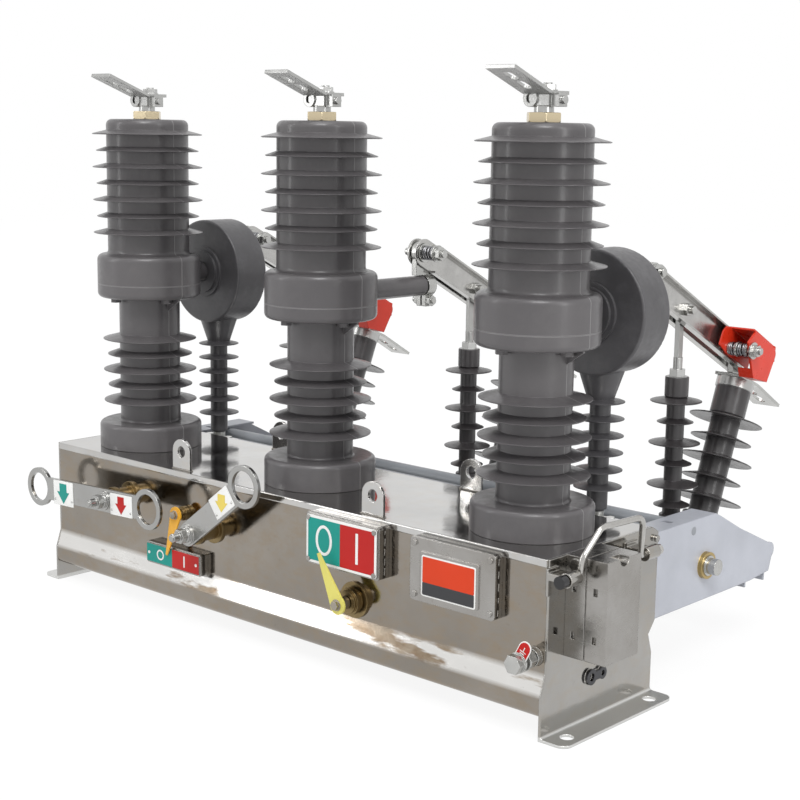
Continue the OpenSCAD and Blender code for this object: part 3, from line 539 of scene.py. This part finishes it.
def sweep(bm, points, radii, n=8):
    """A tube through points, with its own radius at each."""
    rings = []
    side = None
    for k, p in enumerate(points):
        a = points[k - 1] if k else p
        b = points[k + 1] if k < len(points) - 1 else p
        d = (b - a).normalized()
        side = (side - d * side.dot(d)).normalized() if side else d.orthogonal().normalized()
        up = d.cross(side)
        rings.append([bm.verts.new(p + (side * math.cos(t) + up * math.sin(t)) * radii[k])
                      for t in (2 * math.pi * q / n for q in range(n))])
    for a, b in zip(rings, rings[1:]):
        for q in range(n):
            bm.faces.new((a[q], a[(q + 1) % n], b[(q + 1) % n], b[q]))
    bm.faces.new(rings[0][::-1])
    bm.faces.new(rings[-1])


def coil(name, centre, x0, x1, mean_r, wire, turns, body):
    """A compression spring round an axis along x."""
    steps = int(turns * 26)
    pts = []
    for k in range(steps + 1):
        t = k / steps
        # the end turns lie flat, as on a ground spring
        lie = max(0, min(1, (t * turns - 0.8) / (turns - 1.6)))
        a = 2 * math.pi * turns * t
        pts.append(Vector((x0 + wire + (x1 - x0 - 2 * wire) * lie,
                           centre[0] + mean_r * math.cos(a), centre[1] + mean_r * math.sin(a))))
    bm = bmesh.new()
    sweep(bm, pts, [wire] * len(pts))
    return place(name, bm, "spring", body, 80)


def weld(name, points, r):
    """A rippled weld bead along points."""
    pts, radii = [], []
    for a, b in zip(points, points[1:]):
        a, b = Vector(a), Vector(b)
        n = max(2, int((b - a).length / (r * 0.45)))
        for k in range(n):
            pts.append(a.lerp(b, k / n) + Vector([RNG.uniform(-0.18, 0.18) * r for _ in range(3)]))
            radii.append(r * (0.85 + 0.28 * math.sin(k * 1.9) + RNG.uniform(-0.1, 0.1)))
    pts.append(Vector(points[-1]))
    radii.append(r * 0.4)
    radii[0] = r * 0.4
    bm = bmesh.new()
    sweep(bm, pts, radii)
    return place(name, bm, "weld", "breaker", 60)


def pan_head(bm, at, along, r):
    """A low domed screw head."""
    steps = [(r, 0.0), (r, r * 0.28)]
    dome = [math.radians(a) for a in (25, 50, 72)]
    steps += [(r * math.cos(a), r * (0.28 + 0.34 * math.sin(a))) for a in dome]
    revolve(bm, steps + [(0.0, r * 0.62)], at, along, 18)


def plate(name, outline, y0, y1, mat, body="breaker", hole=None, edge=0.0):
    """A thin plate as a piece of its own."""
    bm = bmesh.new()
    prism(bm, outline, y0, y1, hole, edge)
    return place(name, bm, mat, body)


# ---------------------------------------------------------------- detail pieces
def on_blade(along, up):
    """(y, z) of a point given by its distance from the hinge and its height over a blade's middle line."""
    return (HINGE[0] + along * math.cos(TILT) + up * math.sin(TILT),
            HINGE[1] - along * math.sin(TILT) + up * math.cos(TILT))


def springs():
    at = on_blade(*GUARD_BOLT)
    for k, x in PHASES.items():
        coil("hinge_spring_" + k, HINGE, x + 0.0102, x + 0.0279, 0.0082, 0.00145, 4.6, "breaker")
        coil("guard_spring_inner_" + k, at, x + 0.0198, x + 0.0299, 0.0076, 0.0013, 3.4, "blade_" + k)
        coil("guard_spring_outer_" + k, at, x + 0.0326, x + 0.0447, 0.0076, 0.0013, 3.8, "blade_" + k)


def main_sign():
    """Open and closed fields with a frame, on the main indicator's box."""
    x0, x1, z0, z1, y = MAIN_SIGN
    rim = 0.0032
    plate("main_sign_frame", rounded(x0, x1, z0, z1, 0.003), y - 0.0006, y + 0.0002, "white", edge=0.0002)
    mid = (x0 + x1) / 2 - 0.001
    for name, a, b, mat in (("open", x0 + rim, mid, "teal"), ("closed", mid, x1 - rim, "sign_red")):
        field = rounded(a, b, z0 + rim, z1 - rim, 0.0006, 2)
        plate("main_sign_" + name, field, y - 0.0009, y - 0.0004, mat)
    zc = (z0 + z1) / 2
    cx = (x0 + rim + mid) / 2
    ring = oval(cx, zc + 0.001, 0.0135, 0.0185)
    plate("main_sign_ring", ring, y - 0.0012, y - 0.0008, "white", hole=oval(cx, zc + 0.001, 0.0098, 0.0148))
    cx = (mid + x1 - rim) / 2
    bar = rounded(cx - 0.002, cx + 0.002, zc - 0.0175, zc + 0.0195, 0.0004, 2)
    plate("main_sign_bar", bar, y - 0.0012, y - 0.0008, "white")


def energy_sign():
    """Slack and charged fields, with a ring on the left one and a bar on the right one."""
    x0, x1, z0, z1, y = ENERGY_SIGN
    split = -0.1686
    for name, a, b, mat in (("slack", x0, split, "teal"), ("charged", split, x1, "sign_red")):
        plate("energy_sign_" + name, rounded(a, b, z0, z1, 0.0005, 2), y - 0.0005, y + 0.0002, mat)
    zc = (z0 + z1) / 2
    bm = bmesh.new()
    for x in (x0 + 0.005, x1 - 0.005):
        pan_head(bm, (x, y - 0.0004, zc), (0, -1, 0), 0.0021)
    place("energy_sign_screws", bm, "white", "breaker")
    cx = (x0 + split) / 2 + 0.002
    hole = oval(cx, zc, 0.0050, 0.0050)
    plate("energy_sign_ring", oval(cx, zc, 0.0072, 0.0072), y - 0.0008, y - 0.0004, "white", hole=hole)
    cx = (split + x1) / 2 - 0.002
    bar = rounded(cx - 0.0013, cx + 0.0013, zc - 0.0075, zc + 0.0075, 0.0003, 2)
    plate("energy_sign_bar", bar, y - 0.0008, y - 0.0004, "white")


def name_label():
    """Blank two-colour plate with a white border."""
    x0, x1, z0, z1, y = NAME_LABEL
    rim = 0.0018
    plate("label_border", rounded(x0, x1, z0, z1, 0.0025), y - 0.0005, y + 0.0002, "white",
          edge=0.0002)
    split = z0 + (z1 - z0) * 0.34
    for name, a, b, mat in (("upper", split, z1 - rim, "plate_red"), ("lower", z0 + rim, split, "black")):
        field = rounded(x0 + rim, x1 - rim, a, b, 0.0012, 3)
        plate("label_" + name, field, y - 0.0008, y - 0.0003, mat)


def down_arrow(cx, top, bottom, half):
    """Outline of an arrow pointing down: a square tail and a wide head."""
    neck, mid = half * 0.58, top + (bottom - top) * 0.42
    return [(cx - neck, top), (cx - neck, mid), (cx - half, mid), (cx, bottom), (cx + half, mid),
            (cx + neck, mid), (cx + neck, top)]


def arrow_plate(lever, names, field, turn, arrow, mat, rivets, rivet_drop):
    """White plate with a coloured arrow on a lever; its rivets are added to that mesh."""
    cx, cz, w, h = field
    y = JOINT_Y[lever]
    face = rounded(cx - w / 2, cx + w / 2, cz - h / 2, cz + h / 2, 0.001, 3)
    plate(names[0], turned_about(face, (cx, cz), turn), y - 0.0008, y + 0.0001, "white", lever, edge=0.0002)
    plate(names[1], arrow, y - 0.0011, y - 0.0007, mat, lever)
    for dx in (-1, 1):
        px, pz = turned_about([(cx + dx * (w / 2 - 0.003), cz - h * rivet_drop)], (cx, cz), turn)[0]
        pan_head(rivets, (px, y - 0.0007, pz), (0, -1, 0), 0.0016)


def lever_plates():
    lever, turn = "open_close_lever", 2.1
    rivets = bmesh.new()
    for name, field, mat in (("open", (-0.3610, 0.1448, 0.044, 0.034), "teal"),
                             ("closed", (-0.2335, 0.1500, 0.046, 0.029), "sign_red")):
        cx, cz, _, h = field
        arrow = turned_about(down_arrow(cx, cz + h * 0.40, cz - h * 0.42, h * 0.40), (cx, cz), turn)
        names = ("lever_plate_" + name, "lever_arrow_" + name)
        arrow_plate(lever, names, field, turn, arrow, mat, rivets, 0.28)
    place("lever_rivets", rivets, "zinc", lever)
    lever = "charging_lever"
    cx, cz = -0.0335, 0.1885
    arrow = down_arrow(cx, cz + 0.0105, cz - 0.0120, 0.0115)
    rivets = bmesh.new()
    arrow_plate(lever, ("charging_plate", "charging_arrow"), (cx, cz, 0.040, 0.028), 37.1, arrow,
                "arrow_yellow", rivets, 0.3)
    place("charging_rivets", rivets, "zinc", lever)


def earth_tag():
    """Red tongue with a pale border, held between the earth bolt's washers."""
    (x, y, z) = EARTH
    turn = Matrix.Rotation(math.radians(24), 3, "Y") @ Matrix.Rotation(math.radians(-8), 3, "X")

    def tongue(half, head, y0, y1):
        pts = [(x - half, z - 0.004), (x + half, z - 0.004)]
        pts += [(x + half * math.cos(math.radians(a)), z + head - half + half * math.sin(math.radians(a)))
                for a in range(0, 181, 15)]
        bm = bmesh.new()
        prism(bm, pts, y0, y1)
        return bm

    marks = bmesh.new()
    # the earth sign: a stem and three bars, each shorter than the last
    for k, w in enumerate((0.0042, 0.0030, 0.0016)):
        prism(marks, rounded(x - w, x + w, z + 0.0140 - 0.0022 * k, z + 0.0148 - 0.0022 * k, 0.0002, 2),
              y - 0.0014, y - 0.0009)
    prism(marks, rounded(x - 0.0005, x + 0.0005, z + 0.0146, z + 0.0198, 0.0002, 2), y - 0.0014, y - 0.0009)
    for name, bm, mat in (("earth_tag_border", tongue(0.0080, 0.0265, y - 0.0006, y), "white"),
                          ("earth_tag", tongue(0.0068, 0.0250, y - 0.0010, y - 0.0004), "sign_red"),
                          ("earth_sign", marks, "white")):
        bmesh.ops.rotate(bm, verts=bm.verts, cent=(x, y, z), matrix=turn)
        place(name, bm, mat, "breaker")


def welds():
    lid = high("end_plate_left", 2)
    for side, y in (("front", -0.090), ("rear", 0.090)):
        for k, x in (("left", -0.172), ("right", 0.172)):
            for face in (-1, 1):
                edge = y + face * 0.0024
                run = [(x - 0.018, edge, lid + 0.0004), (x + 0.018, edge, lid + 0.0004)]
                weld(f"lug_weld_{side}_{k}_{'ab'[face > 0]}", run, 0.0013)
    x, y, z = EARTH
    ring = [(x + 0.0098 * math.cos(a), FRONT_Y - 0.0006, z + 0.0098 * math.sin(a))
            for a in (2 * math.pi * k / 14 for k in range(15))]
    weld("earth_weld", ring, 0.0013)
    # tack welds that hold each cover to its box, along the sides
    for name, node in (("main_box", "main_indicator"), ("name_box", "nameplate_box")):
        (x0, y0, z0), (x1, y1, z1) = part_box(node)
        z0 = z0 if node == "nameplate_box" else z1 - 0.060
        for side, x in (("left", x0), ("right", x1)):
            for k in range(5):
                z = z0 + (z1 - z0) * (k + 0.6) / 5.2
                run = RNG.uniform(0.0022, 0.0048)
                y = SEAM_Y + RNG.uniform(-0.0006, 0.0006)
                weld(f"{name}_weld_{side}_{k}", [(x, y, z - run), (x, y + 0.0005, z + run)], 0.0010)
    # lid corners at the end plates
    for k, x in (("left", low("tank_lid", 0)), ("right", high("tank_lid", 0))):
        weld("lid_weld_" + k, [(x, -0.0985, lid - 0.0085), (x, -0.0985, lid - 0.001)], 0.0011)


springs()
main_sign()
energy_sign()
name_label()
lever_plates()
earth_tag()
welds()


# ---------------------------------------------------------------- camera, light, stage
def look_camera():
    cam = bpy.data.cameras.new("camera")
    cam.lens = 69.4
    cam.sensor_width = 36.0
    cam.clip_end = 50
    ob = bpy.data.objects.new("camera", cam)
    bpy.context.scene.collection.objects.link(ob)
    az, pitch, roll = math.radians(42.01), math.radians(9.84), math.radians(0.84)
    fwd = Vector((-math.sin(az) * math.cos(pitch), math.cos(az) * math.cos(pitch), -math.sin(pitch)))
    right = Vector((math.cos(az), math.sin(az), 0))
    up = right.cross(fwd)
    r2 = right * math.cos(roll) + up * math.sin(roll)
    u2 = up * math.cos(roll) - right * math.sin(roll)
    rot = Matrix((r2, u2, -fwd)).transposed().to_4x4()
    ob.matrix_world = Matrix.Translation((1.3665, -1.3725, 0.6413)) @ rot
    bpy.context.scene.camera = ob


def area(name, loc, target, size, power):
    li = bpy.data.lights.new(name, "AREA")
    li.shape = "RECTANGLE"
    li.size, li.size_y = size
    li.energy = power
    ob = bpy.data.objects.new(name, li)
    ob.location = loc
    ob.rotation_euler = (Vector(target) - Vector(loc)).to_track_quat("-Z", "Y").to_euler()
    bpy.context.scene.collection.objects.link(ob)


def plain_background(lp, nt):
    """1 for rays that should meet the plain white background: seen, mirrored or through glass."""
    a = nt.nodes.new("ShaderNodeMath")
    a.operation = "MAXIMUM"
    nt.links.new(lp.outputs["Is Camera Ray"], a.inputs[0])
    nt.links.new(lp.outputs["Is Glossy Ray"], a.inputs[1])
    b = nt.nodes.new("ShaderNodeMath")
    b.operation = "MAXIMUM"
    nt.links.new(a.outputs[0], b.inputs[0])
    nt.links.new(lp.outputs["Is Transmission Ray"], b.inputs[1])
    return b.outputs[0]


def studio():
    """White background, soft light from above."""
    world = bpy.data.worlds.new("world")
    bpy.context.scene.world = world
    world.use_nodes = True
    nt = world.node_tree
    nt.nodes.clear()
    out = nt.nodes.new("ShaderNodeOutputWorld")
    soft = nt.nodes.new("ShaderNodeBackground")
    seen = nt.nodes.new("ShaderNodeBackground")
    seen.inputs["Color"].default_value = (1, 1, 1, 1)
    soft.inputs["Color"].default_value = (0.97, 0.98, 1.0, 1)
    soft.inputs["Strength"].default_value = 0.55
    lp = nt.nodes.new("ShaderNodeLightPath")
    mx = nt.nodes.new("ShaderNodeMixShader")
    nt.links.new(plain_background(lp, nt), mx.inputs[0])
    nt.links.new(soft.outputs[0], mx.inputs[1])
    nt.links.new(seen.outputs[0], mx.inputs[2])
    nt.links.new(mx.outputs[0], out.inputs["Surface"])
    bpy.context.scene.view_settings.view_transform = "Standard"
    sun = bpy.data.lights.new("sun", "SUN")
    sun.energy = 1.5
    sun.angle = math.radians(24)
    ob = bpy.data.objects.new("sun", sun)
    ob.rotation_euler = (math.radians(38), math.radians(10), math.radians(28))
    bpy.context.scene.collection.objects.link(ob)
    area("strip_left", (-1.7, -1.9, 1.3), (0, 0, 0.45), (0.35, 2.0), 12)
    area("strip_right", (2.3, -0.2, 1.2), (0, 0, 0.45), (0.4, 2.0), 14)
    area("top", (0.1, -0.4, 2.6), (0, 0, 0.2), (1.6, 1.2), 14)


def floor():
    bm = bmesh.new()
    bmesh.ops.create_circle(bm, cap_ends=True, segments=96, radius=9)
    me = bpy.data.meshes.new("floor")
    bm.to_mesh(me)
    ob = bpy.data.objects.new("floor", me)
    bpy.context.scene.collection.objects.link(ob)
    m = bpy.data.materials.new("floor")
    m.use_nodes = True
    nt = m.node_tree
    b = nt.nodes["Principled BSDF"]
    b.inputs["Base Color"].default_value = (0.86, 0.86, 0.86, 1)
    b.inputs["Roughness"].default_value = 0.8
    em = nt.nodes.new("ShaderNodeEmission")
    em.inputs["Strength"].default_value = 1.035
    lp = nt.nodes.new("ShaderNodeLightPath")
    mx = nt.nodes.new("ShaderNodeMixShader")
    fac = nt.nodes.new("ShaderNodeMath")
    fac.operation = "MULTIPLY"
    fac.inputs[1].default_value = 0.86
    nt.links.new(plain_background(lp, nt), fac.inputs[0])
    nt.links.new(fac.outputs[0], mx.inputs[0])
    nt.links.new(b.outputs[0], mx.inputs[1])
    nt.links.new(em.outputs[0], mx.inputs[2])
    out = nt.nodes["Material Output"]
    nt.links.new(mx.outputs[0], out.inputs["Surface"])
    me.materials.append(m)


look_camera()
studio()
floor()
